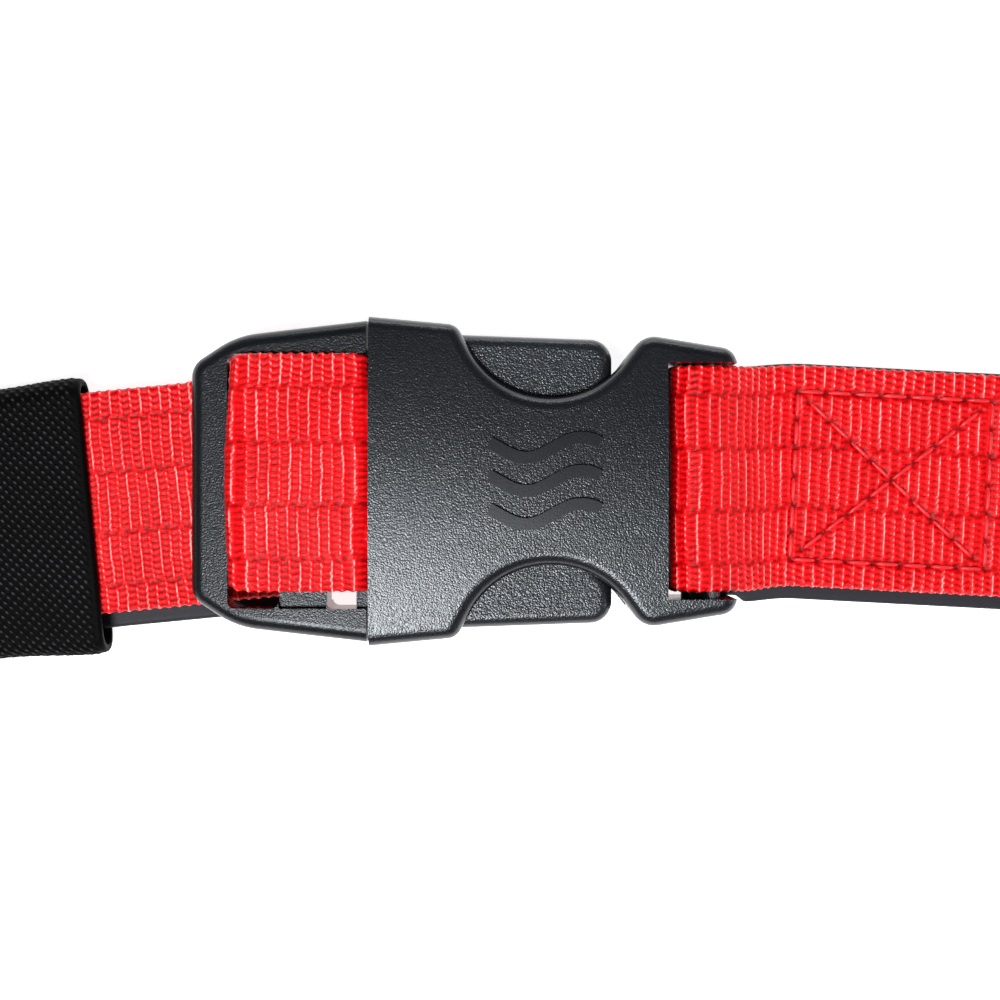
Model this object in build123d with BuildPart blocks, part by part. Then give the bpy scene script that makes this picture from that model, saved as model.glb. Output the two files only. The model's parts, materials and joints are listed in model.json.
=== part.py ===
"""Side-release buckle on 25 mm webbing: socket housing, ladder-lock plug, two straps and a sleeve.

Frame: the buckle lies on its back, +Z up out of its face. X runs along the straps, towards the sewn strap.
Y runs across them. The origin is the middle of the socket housing's flat back face. Units are millimetres.
"""
import os
from math import acos, atan2, cos, degrees, hypot, pi, radians, sin, tan

from build123d import *

# ---------------------------------------------------------------- webbing, lining, sleeve, thread
webbing_width = 25.0
webbing_t = 1.4
lining_margin = 1.0
lining_t = 1.0
lining_corner = 0.5
sleeve_wall = 0.8
sleeve_side_play = 1.2
sleeve_length = 30.0
sleeve_corner = 0.6
layer_gap = 0.05
stitch_t = 0.3
stitch_width = 0.8
stitch_pitch = 3.3
stitch_fill = 0.78
end_row_gap = 1.8
end_row_margin = 2.5

# ---------------------------------------------------------------- socket housing
housing_length = 40.4
housing_height = 12.0
crown_drop = 1.3
plate_t = 2.2
side_wall = 3.3
mouth_taper = 0.9
waist_half = 9.2
waist_left_run = 4.3
waist_right_run = 3.66
ear_run = 1.56
latch_corner_radius = 1.8
ear_front_radius = 2.6
ear_back_radius = 2.0
latch_depth = 9.6
end_wall = 4.1
side_window_reach = 1.3
side_window_land = 4.0
cavity_corner = 1.2
slot_lip_radius = 0.8
rail_length = 11.0
rail_end_x = -3.0
rail_width = 1.0
rail_height = 1.2
rail_sink = 0.1
rail_clear = 0.5
bar_radius = 2.2
bar_inset = 3.6
ear_wall_front = 3.15
ear_wall_back = 1.45
lip_radius = 1.5
back_edge_radius = 1.0
relief_height = 0.45
wave_half = 6.0
wave_height = 1.1
wave_pitch = 3.6
wave_stroke = 1.3
wave_rows = 3
wave_steps = 8
wave_x = -1.0

# ---------------------------------------------------------------- plug
shoulder_gap = 0.3
end_bar = 4.15
slot_one = 5.7
centre_bar = 5.26
slot_two = 3.24
shoulder_web = 1.1
rail_shoulder = 3.7
rail_corner = 2.1
frame_top_end = 9.2
frame_top_shoulder = 10.4
frame_edge_radius = 1.5
frame_corner_in = 1.1
frame_corner_run = 5.0
frame_corner_radius = 2.4
rail_bend_radius = 10.0
frame_slot_corner = 0.8
frame_back_z = 2.5
centre_bar_top = 9.2
neck_depth = 3.2
prong_half = 2.2
prong_reach = 22.0
prong_taper = 3.0
prong_clear = 1.1
arm_root_y = 8.6
arm_root_radius = 1.5
arm_root_depth = 0.6
arm_half = 1.0
pad_inner = 7.6
pad_proud = 1.4
pad_taper = 0.6
pad_length = 16.7
pad_edge_radius = 1.3
pad_nose_in = 3.5
pad_nose_rise = 3.6
pad_heel_rise = 0.2
pad_outer_radius = 2.4
pad_nose_radius = 2.0
pad_heel_radius = 1.2

# ---------------------------------------------------------------- clearances
slot_play = 0.45
frame_play = 1.5
plug_clear = 0.4
plate_clear = 0.3
latch_clear = 0.4
bar_clear = 0.15
loop_clear = 0.35
web_clear = 0.3
root_clear = 0.1
sleeve_clear = 0.1

# ---------------------------------------------------------------- straps
fixed_slope = 3.0
fixed_bend_x = 9.7
fixed_loop_y = 0.3
fixed_loop_reach = 3.0
fixed_y = 0.8
adjuster_slope = 5.5
adjuster_y = -1.5
loop_y = 0.9
strap_hinge_gap = 2.1
sleeve_start = 9.65
sleeve_shift = -1.35
tail_length = 33.0
adjuster_length = 52.0
fixed_length = 50.0
fixed_flat_start = 8.6
box_length = 22.0
box_width = 19.0
box_inset = 2.2
fixed_lining_inset = 4.7
fixed_lining_shift = -0.55
adjuster_lining_shift = -0.8
seam_end_margin = 2.5
strap_drop_run = 7.0
strap_drop_gap = 1.5
strap_drop_radius = 6.0
fold_radius = 5.0
loop_bend_radius = 0.9

# ---------------------------------------------------------------- derived places
lining_width = webbing_width + 2 * lining_margin
sleeve_width = lining_width + 2 * sleeve_side_play + 2 * sleeve_wall
mouth_x = -housing_length / 2
end_x = housing_length / 2
mid_z = housing_height / 2
slot_half = webbing_width / 2 + slot_play
frame_slot_half = webbing_width / 2 + frame_play
neck_half = frame_slot_half + plug_clear
cavity_half = neck_half + plug_clear
mouth_half = cavity_half + side_wall
cavity_height = housing_height - 2 * plate_t
plug_height = cavity_height - 2 * plate_clear
bar_x = end_x - bar_inset
loop_inner = bar_radius + bar_clear
loop_centre = loop_inner + webbing_t / 2
loop_outer = loop_inner + webbing_t
slot_x = bar_x - loop_outer - loop_clear
cavity_end = slot_x - end_wall
latch_x = mouth_x + latch_depth
ear_front_half = slot_half + ear_wall_front
ear_back_half = slot_half + ear_wall_back

shoulder_x = mouth_x - shoulder_gap
cross_x = shoulder_x - shoulder_web
slot_two_x = cross_x - slot_two
centre_bar_x = slot_two_x - centre_bar
slot_one_x = centre_bar_x - slot_one
frame_x = slot_one_x - end_bar
neck_end = mouth_x + neck_depth
arm_root_x = neck_end - arm_root_depth
rail_half = frame_slot_half + rail_shoulder

thread_space = stitch_t + layer_gap
fixed_lining_z = thread_space
fixed_lower_z = fixed_lining_z + lining_t + layer_gap
fixed_upper_z = fixed_lower_z + webbing_t + layer_gap
adjuster_lining_z = thread_space + sleeve_wall + sleeve_clear
tail_z = adjuster_lining_z + lining_t + layer_gap
main_z = tail_z + webbing_t + layer_gap
strap_top_z = main_z + webbing_t
frame_under_z = strap_top_z + web_clear
strap_mid_z = (adjuster_lining_z + strap_top_z) / 2
strap_nose = (strap_top_z - adjuster_lining_z) / 2
strap_hinge_x = frame_x - strap_hinge_gap


def housing_outline():
    """Half outline of the housing, from the mouth round the thumb cut-out to the end, then mirrored."""
    latch_corner = (latch_x, mouth_half - mouth_taper)
    waist_left = (latch_x + waist_left_run, waist_half)
    waist_right = (cavity_end - waist_right_run, waist_half)
    ear_front = (cavity_end + ear_run, ear_front_half)
    ear_back = (end_x, ear_back_half)
    with BuildSketch() as outline:
        with BuildLine():
            Polyline(
                (mouth_x, 0), (mouth_x, mouth_half), latch_corner, waist_left,
                waist_right, ear_front, ear_back, (end_x, 0), close=True,
            )
        make_face()
        left_turn = atan2(latch_corner[1] - waist_half, waist_left[0] - latch_corner[0])
        right_turn = atan2(ear_front[1] - waist_half, ear_front[0] - waist_right[0])
        left_flank = hypot(waist_left[0] - latch_corner[0], latch_corner[1] - waist_half)
        left_flank -= latch_corner_radius * tan(left_turn / 2)
        right_flank = hypot(ear_front[0] - waist_right[0], ear_front[1] - waist_half)
        right_flank -= ear_front_radius * tan(right_turn / 2)
        waist_flat = waist_right[0] - waist_left[0]
        waist_radius = 0.98 * min(
            waist_flat / (tan(left_turn / 2) + tan(right_turn / 2)),
            left_flank / tan(left_turn / 2),
            right_flank / tan(right_turn / 2),
        )
        fillet(outline.vertices().sort_by_distance(waist_left)[0], waist_radius)
        fillet(outline.vertices().sort_by_distance(waist_right)[0], waist_radius)
        fillet(outline.vertices().sort_by_distance(latch_corner)[0], latch_corner_radius)
        fillet(outline.vertices().sort_by_distance(ear_front)[0], ear_front_radius)
        fillet(outline.vertices().sort_by_distance(ear_back)[0], ear_back_radius)
        mirror(about=Plane.XZ)
    return outline.sketch


def crown_section(rise):
    """Cross-section of the housing's crowned face, wide enough to cover it from side to side."""
    wide = mouth_half + 1
    top = housing_height + rise
    with BuildSketch(Plane.YZ.offset(mouth_x - 1)) as section:
        with BuildLine():
            Polyline((-wide, top - crown_drop), (-wide, 0), (wide, 0), (wide, top - crown_drop))
            ThreePointArc((wide, top - crown_drop), (0, top), (-wide, top - crown_drop))
        make_face()
    return section.sketch


def both_sides(x, half, length, depth, height):
    """Two boxes at +Y and -Y, from x onwards, reaching outwards from the given half width."""
    with Locations((x + length / 2, half + depth / 2, mid_z), (x + length / 2, -half - depth / 2, mid_z)):
        Box(length, depth, height, mode=Mode.SUBTRACT)


def strap_layer(low, high, start, length, hinge_x):
    """Side profile of one layer of the adjuster strap, cut round about the strap's hinge line."""
    with BuildSketch(Plane.XZ) as layer:
        with Locations((start - length / 2, (low + high) / 2)):
            Rectangle(length, high - low)
        with BuildSketch(Plane.XZ, mode=Mode.INTERSECT):
            with Locations((hinge_x, strap_mid_z)):
                Circle(strap_nose)
            with Locations((hinge_x - length, strap_mid_z)):
                Rectangle(2 * length, 4 * strap_nose)
    return layer.sketch


def adjuster_line(x):
    """Y of the middle of the adjuster strap at x."""
    return adjuster_y + (x - strap_hinge_x) * tan(radians(adjuster_slope))


def fixed_line(x):
    """Y of the middle of the fixed strap at x, beyond its bend."""
    return fixed_y - (x - bend_x) * tan(radians(fixed_slope))


def fixed_plan(start, end, width):
    """Plan of the fixed strap: straight in the housing's slot, then across to the bend, then down its slope."""
    straight_end = end_x + fixed_loop_reach
    with BuildSketch() as plan:
        with BuildLine():
            Polyline(
                (start, fixed_loop_y), (straight_end, fixed_loop_y), (bend_x, fixed_y), (end, fixed_line(end)),
            )
        trace(line_width=width)
    return plan.sketch


def stitch_bar(length, side):
    """One stitch: a low half-round bar with its flat side on the cloth."""
    with BuildPart(mode=Mode.PRIVATE) as bar:
        with BuildSketch(Plane.YZ.offset(-length / 2)):
            with BuildLine():
                Line((-stitch_width / 2, 0), (stitch_width / 2, 0))
                ThreePointArc((stitch_width / 2, 0), (0, side * stitch_t), (-stitch_width / 2, 0))
            make_face()
        extrude(amount=length)
    return bar.part


def save(name, part):
    part.label = name
    export_step(part, f"parts/{name}.step")


os.makedirs("parts", exist_ok=True)

# ---------------------------------------------------------------- socket housing
wave_points = [wave_x + wave_half * (2 * i / wave_steps - 1) for i in range(wave_steps + 1)]
with BuildPart() as wave_relief:
    with BuildSketch(Plane.XY.offset(housing_height - plate_t / 2)):
        for row in range(wave_rows):
            with BuildLine():
                crest = wave_pitch * ((wave_rows - 1) / 2 - row)
                Spline(*[(x, crest + wave_height * sin(x * pi / wave_half)) for x in wave_points])
            trace(line_width=wave_stroke)
    extrude(amount=plate_t)
    extrude(crown_section(relief_height), amount=housing_length + 2, mode=Mode.INTERSECT)

with BuildPart() as socket_housing:
    extrude(housing_outline(), amount=housing_height)
    extrude(crown_section(0), amount=housing_length + 2, mode=Mode.INTERSECT)
    rim = socket_housing.faces().filter_by(GeomType.CYLINDER).sort_by(SortBy.AREA)[-1].edges()
    fillet(rim.filter_by(lambda e: e.center().X > mouth_x + 0.1), lip_radius)
    base = socket_housing.faces().sort_by(Axis.Z)[0].edges()
    fillet(base.filter_by(lambda e: e.center().X > mouth_x + 0.1), back_edge_radius)
    with BuildSketch(Plane.YZ.offset(mouth_x)):
        with Locations((0, mid_z)):
            RectangleRounded(2 * cavity_half, cavity_height, cavity_corner)
    extrude(amount=cavity_end - mouth_x, mode=Mode.SUBTRACT)
    window_half = cavity_half - side_window_reach
    window_length = cavity_end - side_window_land - latch_x
    both_sides(latch_x, window_half, window_length, mouth_half - window_half, cavity_height)
    slot_run = end_x - slot_x + 1
    with Locations((slot_x + slot_run / 2, 0, mid_z)):
        Box(slot_run, 2 * slot_half, 2 * housing_height, mode=Mode.SUBTRACT)
    lips = socket_housing.edges().filter_by(Axis.Y).filter_by(lambda e: abs(e.center().X - slot_x) < 0.01)
    fillet(lips, slot_lip_radius)
    with Locations(Location((bar_x, 0, mid_z), (90, 0, 0))):
        Cylinder(bar_radius, 2 * slot_half + 1)
    rail_y = prong_half + rail_clear + rail_width / 2
    rail_z = plate_t + rail_height / 2 - rail_sink
    for side in (-1, 1):
        rail_middle = (rail_end_x - rail_length / 2, side * rail_y)
        with Locations((*rail_middle, rail_z), (*rail_middle, housing_height - rail_z)):
            Box(rail_length, rail_width, rail_height)
    add(wave_relief.part)
save("socket_housing", socket_housing.part)

# ---------------------------------------------------------------- plug frame
frame_corner = (frame_x, frame_slot_half - frame_corner_in)
rail_bend = (frame_x + frame_corner_run, frame_slot_half + rail_corner)
with BuildPart() as plug_frame:
    with BuildSketch() as frame_plan:
        with BuildLine():
            Polyline(
                (frame_x, 0), frame_corner, rail_bend, (shoulder_x, rail_half), (shoulder_x, 0), close=True,
            )
        make_face()
        fillet(frame_plan.vertices().sort_by_distance(frame_corner)[0], frame_corner_radius)
        fillet(frame_plan.vertices().sort_by_distance(rail_bend)[0], rail_bend_radius)
        mirror(about=Plane.XZ)
    extrude(amount=housing_height)
    with BuildSketch(Plane.XZ) as frame_side:
        with BuildLine():
            Polyline(
                (frame_x, frame_under_z), (slot_one_x + 1, frame_under_z), (centre_bar_x + 2, frame_back_z),
                (shoulder_x, frame_back_z), (shoulder_x, frame_top_shoulder),
                (centre_bar_x, frame_top_shoulder - 0.3), (frame_x, frame_top_end), close=True,
            )
        make_face()
    extrude(amount=2 * rail_half, both=True, mode=Mode.INTERSECT)
    top_rim = plug_frame.edges().filter_by(
        lambda e: e.center().Z > frame_top_end - 0.5 and e.center().X < shoulder_x - 0.05
        and (abs(e.center().Y) > 5 or e.center().X < frame_x + 0.05)
    )
    fillet(top_rim, frame_edge_radius)
    slots = ((slot_one_x, slot_one), (slot_two_x, shoulder_x - slot_two_x + 1))
    with BuildSketch():
        for start, width in slots:
            with Locations((start + width / 2, 0)):
                RectangleRounded(width, 2 * frame_slot_half, frame_slot_corner)
    extrude(amount=housing_height, mode=Mode.SUBTRACT)
    bar_cut = centre_bar + 0.02
    bar_under_z = tail_z + webbing_t + web_clear
    with Locations((centre_bar_x + centre_bar / 2, 0, 0)):
        Box(bar_cut, 2 * frame_slot_half, 2 * bar_under_z, mode=Mode.SUBTRACT)
    with Locations((centre_bar_x + centre_bar / 2, 0, housing_height)):
        Box(bar_cut, 2 * frame_slot_half, 2 * (housing_height - centre_bar_top), mode=Mode.SUBTRACT)
    neck_length = neck_end - cross_x
    with Locations((cross_x + neck_length / 2, 0, mid_z)):
        Box(neck_length, 2 * neck_half, plug_height)
    prong_height = plug_height - 2 * prong_clear
    prong_end = neck_end + prong_reach
    with BuildSketch(Plane.XY.offset(mid_z - prong_height / 2)):
        with BuildLine():
            Polyline(
                (neck_end, -prong_half), (prong_end - prong_taper, -prong_half), (prong_end, -prong_half / 2),
                (prong_end, prong_half / 2), (prong_end - prong_taper, prong_half), (neck_end, prong_half),
                close=True,
            )
        make_face()
    extrude(amount=prong_height)
    with Locations((arm_root_x, arm_root_y, mid_z), (arm_root_x, -arm_root_y, mid_z)):
        Cylinder(arm_root_radius + root_clear, housing_height, mode=Mode.SUBTRACT)
save("plug_frame", plug_frame.part)

# ---------------------------------------------------------------- release arms
pad_x = latch_x + latch_clear
pad_outer = cavity_half + pad_proud
pad_end = pad_x + pad_length
pad_nose = (pad_end - pad_nose_in, pad_inner)
pad_nose_top = (pad_end, pad_inner + pad_nose_rise)
pad_corner = (pad_end, pad_outer - pad_taper)
pad_heel = (pad_x, arm_root_y + arm_half + pad_heel_rise)
with BuildPart() as release_arm_upper:
    with BuildSketch(Plane.XY.offset(mid_z - plug_height / 2)) as arm_plan:
        with BuildLine():
            Polyline(
                (arm_root_x, arm_root_y - arm_half), pad_nose, pad_nose_top, pad_corner, (pad_x, pad_outer),
                pad_heel, (arm_root_x, arm_root_y + arm_half), close=True,
            )
        make_face()
        fillet(arm_plan.vertices().sort_by_distance(pad_corner)[0], pad_outer_radius)
        fillet(arm_plan.vertices().sort_by_distance(pad_nose_top)[0], pad_nose_radius)
        fillet(arm_plan.vertices().sort_by_distance(pad_nose)[0], pad_nose_radius)
        fillet(arm_plan.vertices().sort_by_distance(pad_heel)[0], pad_heel_radius)
    extrude(amount=plug_height)
    outer_rim = release_arm_upper.edges().filter_by(
        lambda e: abs(e.center().Z - mid_z) > 1 and e.center().X > pad_x + 1
        and (e.center().Y > pad_outer - pad_outer_radius or e.center().X > pad_end - pad_nose_in)
    )
    fillet(outer_rim, pad_edge_radius)
    with Locations((arm_root_x, arm_root_y, mid_z)):
        Cylinder(arm_root_radius, plug_height)
with BuildPart() as release_arm_lower:
    add(release_arm_upper.part.mirror(Plane.XZ))
save("release_arm_upper", release_arm_upper.part)
save("release_arm_lower", release_arm_lower.part)

# ---------------------------------------------------------------- adjuster webbing, plug side
frame_web_end = strap_hinge_x + strap_nose + web_clear
rise_x = slot_one_x + web_clear + webbing_t / 2
fall_x = cross_x - web_clear - webbing_t / 2
arch_z = centre_bar_top + 0.1 + webbing_t / 2
main_mid = main_z + webbing_t / 2
tail_mid = tail_z + webbing_t / 2
with BuildPart() as adjuster_webbing_loop:
    with BuildSketch(Plane.XZ.offset(-loop_y)):
        with BuildLine() as loop_path:
            FilletPolyline(
                (frame_web_end, main_mid), (rise_x, main_mid), (rise_x, arch_z), (fall_x, arch_z),
                (fall_x, tail_mid), (frame_web_end, tail_mid), radius=loop_bend_radius,
            )
        trace(line_width=webbing_t)
    extrude(amount=webbing_width / 2, both=True)
save("adjuster_webbing_loop", adjuster_webbing_loop.part)

with BuildPart() as adjuster_lining_end:
    lining_mid_x = (frame_web_end + centre_bar_x) / 2
    lining_mid_y = adjuster_line(lining_mid_x) + adjuster_lining_shift
    with Locations((lining_mid_x, lining_mid_y, adjuster_lining_z + lining_t / 2)):
        Box(centre_bar_x - frame_web_end, lining_width, lining_t)
    fillet(adjuster_lining_end.edges().filter_by(Axis.Z), lining_corner)
save("adjuster_lining_end", adjuster_lining_end.part)

# ---------------------------------------------------------------- adjuster strap, outside the frame
nose_x = strap_hinge_x + strap_nose
strap_end = strap_hinge_x - adjuster_length
drop_start = strap_hinge_x - tail_length - strap_drop_gap
drop_end = drop_start - strap_drop_run


def adjuster_plan(width, start, end, shift=0.0):
    """Plan of the adjuster strap: a band that leaves the frame at a slope, square to X at the hinge."""
    low = shift - width / 2 / cos(radians(adjuster_slope))
    high = shift + width / 2 / cos(radians(adjuster_slope))
    with BuildSketch() as plan:
        with BuildLine():
            Polyline(
                (start, adjuster_line(start) + low), (start, adjuster_line(start) + high),
                (end, adjuster_line(end) + high), (end, adjuster_line(end) + low), close=True,
            )
        make_face()
    return plan.sketch


with BuildPart() as adjuster_webbing_main:
    with BuildSketch(Plane.XZ):
        with BuildLine():
            FilletPolyline(
                (nose_x, main_mid), (drop_start, main_mid), (drop_end, tail_mid), (strap_end, tail_mid),
                radius=strap_drop_radius,
            )
        trace(line_width=webbing_t)
    extrude(amount=2 * webbing_width, both=True)
    extrude(adjuster_plan(webbing_width, nose_x, strap_end), amount=housing_height, mode=Mode.INTERSECT)
    with BuildSketch(Plane.XZ):
        with Locations((strap_hinge_x, strap_mid_z)):
            Circle(strap_nose)
        with Locations((strap_hinge_x - adjuster_length / 2, strap_mid_z)):
            Rectangle(adjuster_length, 4 * strap_nose)
    extrude(amount=2 * webbing_width, both=True, mode=Mode.INTERSECT)
save("adjuster_webbing_main", adjuster_webbing_main.part)

with BuildPart() as adjuster_webbing_tail:
    extrude(strap_layer(tail_z, tail_z + webbing_t, nose_x, tail_length + strap_nose, strap_hinge_x),
            amount=2 * webbing_width, both=True)
    extrude(adjuster_plan(webbing_width, nose_x, strap_end), amount=housing_height, mode=Mode.INTERSECT)
save("adjuster_webbing_tail", adjuster_webbing_tail.part)

with BuildPart() as adjuster_lining:
    lining_run = adjuster_length + strap_nose
    lining_top = adjuster_lining_z + lining_t
    lining_side = strap_layer(adjuster_lining_z, lining_top, nose_x, lining_run, strap_hinge_x)
    extrude(lining_side, amount=2 * webbing_width, both=True)
    extrude(adjuster_plan(lining_width, nose_x, strap_end, adjuster_lining_shift), amount=housing_height,
            mode=Mode.INTERSECT)
save("adjuster_lining", adjuster_lining.part)

# ---------------------------------------------------------------- sleeve
along = Vector(-cos(radians(adjuster_slope)), -sin(radians(adjuster_slope)), 0)
sleeve_origin = Vector(strap_hinge_x, adjuster_y + sleeve_shift, 0) + along * sleeve_start
sleeve_low = adjuster_lining_z - sleeve_clear - sleeve_wall
sleeve_high = strap_top_z + sleeve_clear + sleeve_wall
sleeve_height = sleeve_high - sleeve_low
across = Vector(sin(radians(adjuster_slope)), -cos(radians(adjuster_slope)), 0)
sleeve_middle = sleeve_origin + Vector(0, 0, (sleeve_low + sleeve_high) / 2)
sleeve_plane = Plane(origin=sleeve_middle, x_dir=across, z_dir=along)
with BuildPart() as strap_sleeve:
    with BuildSketch(sleeve_plane):
        RectangleRounded(sleeve_width, sleeve_height, sleeve_corner + sleeve_wall)
        RectangleRounded(sleeve_width - 2 * sleeve_wall, sleeve_height - 2 * sleeve_wall, sleeve_corner,
                         mode=Mode.SUBTRACT)
    extrude(amount=sleeve_length)
save("strap_sleeve", strap_sleeve.part)

# ---------------------------------------------------------------- fixed strap
def tangent_point(x, z, side):
    """Point where a line from (x, z) touches the webbing's centre circle round the bar."""
    reach = hypot(x - bar_x, z - mid_z)
    angle = atan2(z - mid_z, x - bar_x) + side * acos(loop_centre / reach)
    return (bar_x + loop_centre * cos(angle), mid_z + loop_centre * sin(angle)), degrees(angle)


upper_mid = fixed_upper_z + webbing_t / 2
lower_mid = fixed_lower_z + webbing_t / 2
flat_x = bar_x + fixed_flat_start
fixed_end = bar_x + fixed_length
short_end = flat_x + box_length + seam_end_margin
upper_touch, upper_angle = tangent_point(flat_x, upper_mid, 1)
lower_touch, lower_angle = tangent_point(bar_x + 6, lower_mid, -1)
bend_x = bar_x + fixed_bend_x
with BuildPart() as fixed_webbing:
    with BuildSketch(Plane.XZ):
        with BuildLine():
            CenterArc((bar_x, mid_z), loop_centre, upper_angle, 360 + lower_angle - upper_angle)
            FilletPolyline(upper_touch, (flat_x, upper_mid), (short_end + 1, upper_mid),
                           (short_end + 6, lower_mid), (fixed_end, lower_mid), radius=fold_radius)
            FilletPolyline(lower_touch, (bar_x + 6, lower_mid), (short_end, lower_mid), radius=fold_radius)
        trace(line_width=webbing_t)
    extrude(amount=2 * webbing_width, both=True)
    extrude(fixed_plan(slot_x - 1, fixed_end, webbing_width), amount=housing_height, mode=Mode.INTERSECT)
save("fixed_webbing", fixed_webbing.part)

lining_x = bar_x + fixed_lining_inset
with BuildPart() as fixed_lining:
    with BuildSketch(Plane.XY.offset(fixed_lining_z)):
        with BuildLine():
            lining_y = fixed_y + fixed_lining_shift
            Polyline((lining_x, lining_y), (bend_x, lining_y), (fixed_end, fixed_line(fixed_end) + fixed_lining_shift))
        trace(line_width=lining_width)
    extrude(amount=lining_t)
save("fixed_lining", fixed_lining.part)

# ---------------------------------------------------------------- seams
def strap_seam(origin, slope, level, side, lines):
    """Stitches on a strap's face: level is the face's height and side is +1 on top or -1 underneath."""
    turn = Location((origin[0], origin[1], level), (0, 0, slope))
    with BuildPart() as seam:
        for start, finish in lines:
            run = hypot(finish[0] - start[0], finish[1] - start[1])
            count = round(run / stitch_pitch)
            heading = degrees(atan2(finish[1] - start[1], finish[0] - start[0]))
            for i in range(count):
                share = (i + 0.5) / count
                x = start[0] + (finish[0] - start[0]) * share
                y = start[1] + (finish[1] - start[1]) * share
                bar = stitch_bar(run / count * stitch_fill, side)
                add(turn * Location((x, y, 0), (0, 0, heading)) * bar)
    return seam.part


box_x = flat_x + box_inset
half_box = box_width / 2
corner_gap = 1.0
cross_start = 1.6
cross_side = 1.4
cross_gap_x = 1.0
cross_gap_y = 0.9
box_lines = [
    ((0, half_box), (box_length, half_box)),
    ((box_length, half_box - corner_gap), (box_length, corner_gap - half_box)),
    ((box_length, -half_box), (0, -half_box)),
    ((0, corner_gap - half_box), (0, half_box - corner_gap)),
]
for side in (1, -1):
    near_corner = (cross_start, side * (half_box - cross_side))
    near_middle = (box_length / 2 - cross_gap_x, side * cross_gap_y)
    far_middle = (box_length / 2 + cross_gap_x, -side * cross_gap_y)
    far_corner = (box_length - cross_start, side * (cross_side - half_box))
    box_lines += [(near_corner, near_middle), (far_middle, far_corner)]
row_half = webbing_width / 2 - end_row_margin
end_rows = [((x, -row_half), (x, row_half)) for x in (0, end_row_gap)]
fixed_row_x = fixed_end - end_row_margin - end_row_gap
adjuster_row_x = strap_end + end_row_margin
box_place = ((box_x, fixed_line(box_x)), -fixed_slope)
fixed_row = ((fixed_row_x, fixed_line(fixed_row_x)), -fixed_slope)
adjuster_row = ((adjuster_row_x, adjuster_line(adjuster_row_x)), adjuster_slope)
sleeve_row = ((sleeve_origin.X, sleeve_origin.Y), adjuster_slope)
sleeve_seam_margin = 1.5
sleeve_lines = [((sleeve_seam_margin - sleeve_length, 0), (-sleeve_seam_margin, 0))]
seams = {
    "box_stitch_needle_thread": (*box_place, fixed_upper_z + webbing_t, 1, box_lines),
    "box_stitch_bobbin_thread": (*box_place, fixed_lining_z, -1, box_lines),
    "fixed_end_needle_thread": (*fixed_row, fixed_lower_z + webbing_t, 1, end_rows),
    "fixed_end_bobbin_thread": (*fixed_row, fixed_lining_z, -1, end_rows),
    "adjuster_end_needle_thread": (*adjuster_row, tail_z + webbing_t, 1, end_rows),
    "adjuster_end_bobbin_thread": (*adjuster_row, adjuster_lining_z, -1, end_rows),
    "sleeve_seam_thread": (*sleeve_row, sleeve_low, -1, sleeve_lines),
}
for name, values in seams.items():
    save(name, strap_seam(*values))
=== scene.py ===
# %% [markdown]
# # A side-release buckle on red webbing
#
# A closed plastic buckle lies on its back, with a strap sewn to its socket half and an adjustable strap threaded
# through its plug half. The moulded parts come from the CAD frame and only get a finish here. Everything woven
# is built here as real cloth shapes: ribs, weave and stitches are geometry, because that is what the eye reads
# on a strap this close.

# %% Load the frame and keep its box
import json
import math

import bpy
import numpy as np
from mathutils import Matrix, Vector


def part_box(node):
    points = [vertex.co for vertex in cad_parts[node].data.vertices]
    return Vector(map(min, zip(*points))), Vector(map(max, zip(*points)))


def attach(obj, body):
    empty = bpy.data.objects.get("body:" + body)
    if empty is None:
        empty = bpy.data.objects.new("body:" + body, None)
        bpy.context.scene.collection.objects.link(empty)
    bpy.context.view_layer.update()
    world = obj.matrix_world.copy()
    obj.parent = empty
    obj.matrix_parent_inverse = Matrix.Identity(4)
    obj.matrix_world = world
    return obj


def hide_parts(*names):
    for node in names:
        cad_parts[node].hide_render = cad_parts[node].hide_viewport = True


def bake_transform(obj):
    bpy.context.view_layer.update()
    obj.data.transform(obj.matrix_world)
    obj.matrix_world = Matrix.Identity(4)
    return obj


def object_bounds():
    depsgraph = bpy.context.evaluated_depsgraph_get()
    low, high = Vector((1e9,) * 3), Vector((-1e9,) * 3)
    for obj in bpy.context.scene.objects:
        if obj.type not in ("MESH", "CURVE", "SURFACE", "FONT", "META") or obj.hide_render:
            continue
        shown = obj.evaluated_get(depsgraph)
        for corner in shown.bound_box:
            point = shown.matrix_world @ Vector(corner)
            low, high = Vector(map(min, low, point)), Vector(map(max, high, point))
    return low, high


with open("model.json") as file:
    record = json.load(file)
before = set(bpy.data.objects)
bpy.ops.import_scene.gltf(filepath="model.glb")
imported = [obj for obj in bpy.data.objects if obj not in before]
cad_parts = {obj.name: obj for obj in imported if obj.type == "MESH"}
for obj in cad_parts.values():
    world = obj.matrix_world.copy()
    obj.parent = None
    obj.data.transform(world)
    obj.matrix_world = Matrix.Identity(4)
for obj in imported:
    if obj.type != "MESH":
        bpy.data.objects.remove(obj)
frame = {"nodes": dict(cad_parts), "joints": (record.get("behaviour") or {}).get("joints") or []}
cad_low, cad_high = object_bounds()
MM = 0.001
print("CAD box in mm:", [round(v / MM, 1) for v in (*cad_low, *cad_high)])

# %% [markdown]
# ## Camera and studio
#
# A product shot looks straight down on a table. The camera stands close, 200 mm above the table, so the raised
# arch of webbing looks a little wider than the flat strap. The table is white and the room is bright.
# A large soft lamp low on the left gives the plastic its highlight, and the top of the room stays darker.

# %% Camera
camera_data = bpy.data.cameras.new("camera")
camera_data.lens = 62.4
camera_data.clip_start = 0.005
camera = bpy.data.objects.new("camera", camera_data)
camera.location = (-5.82 * MM, -2.07 * MM, 200 * MM)
bpy.context.scene.collection.objects.link(camera)
bpy.context.scene.camera = camera
bpy.context.scene.view_settings.view_transform = "Standard"
print("camera at", tuple(round(v / MM, 1) for v in camera.location), "mm")


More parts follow.
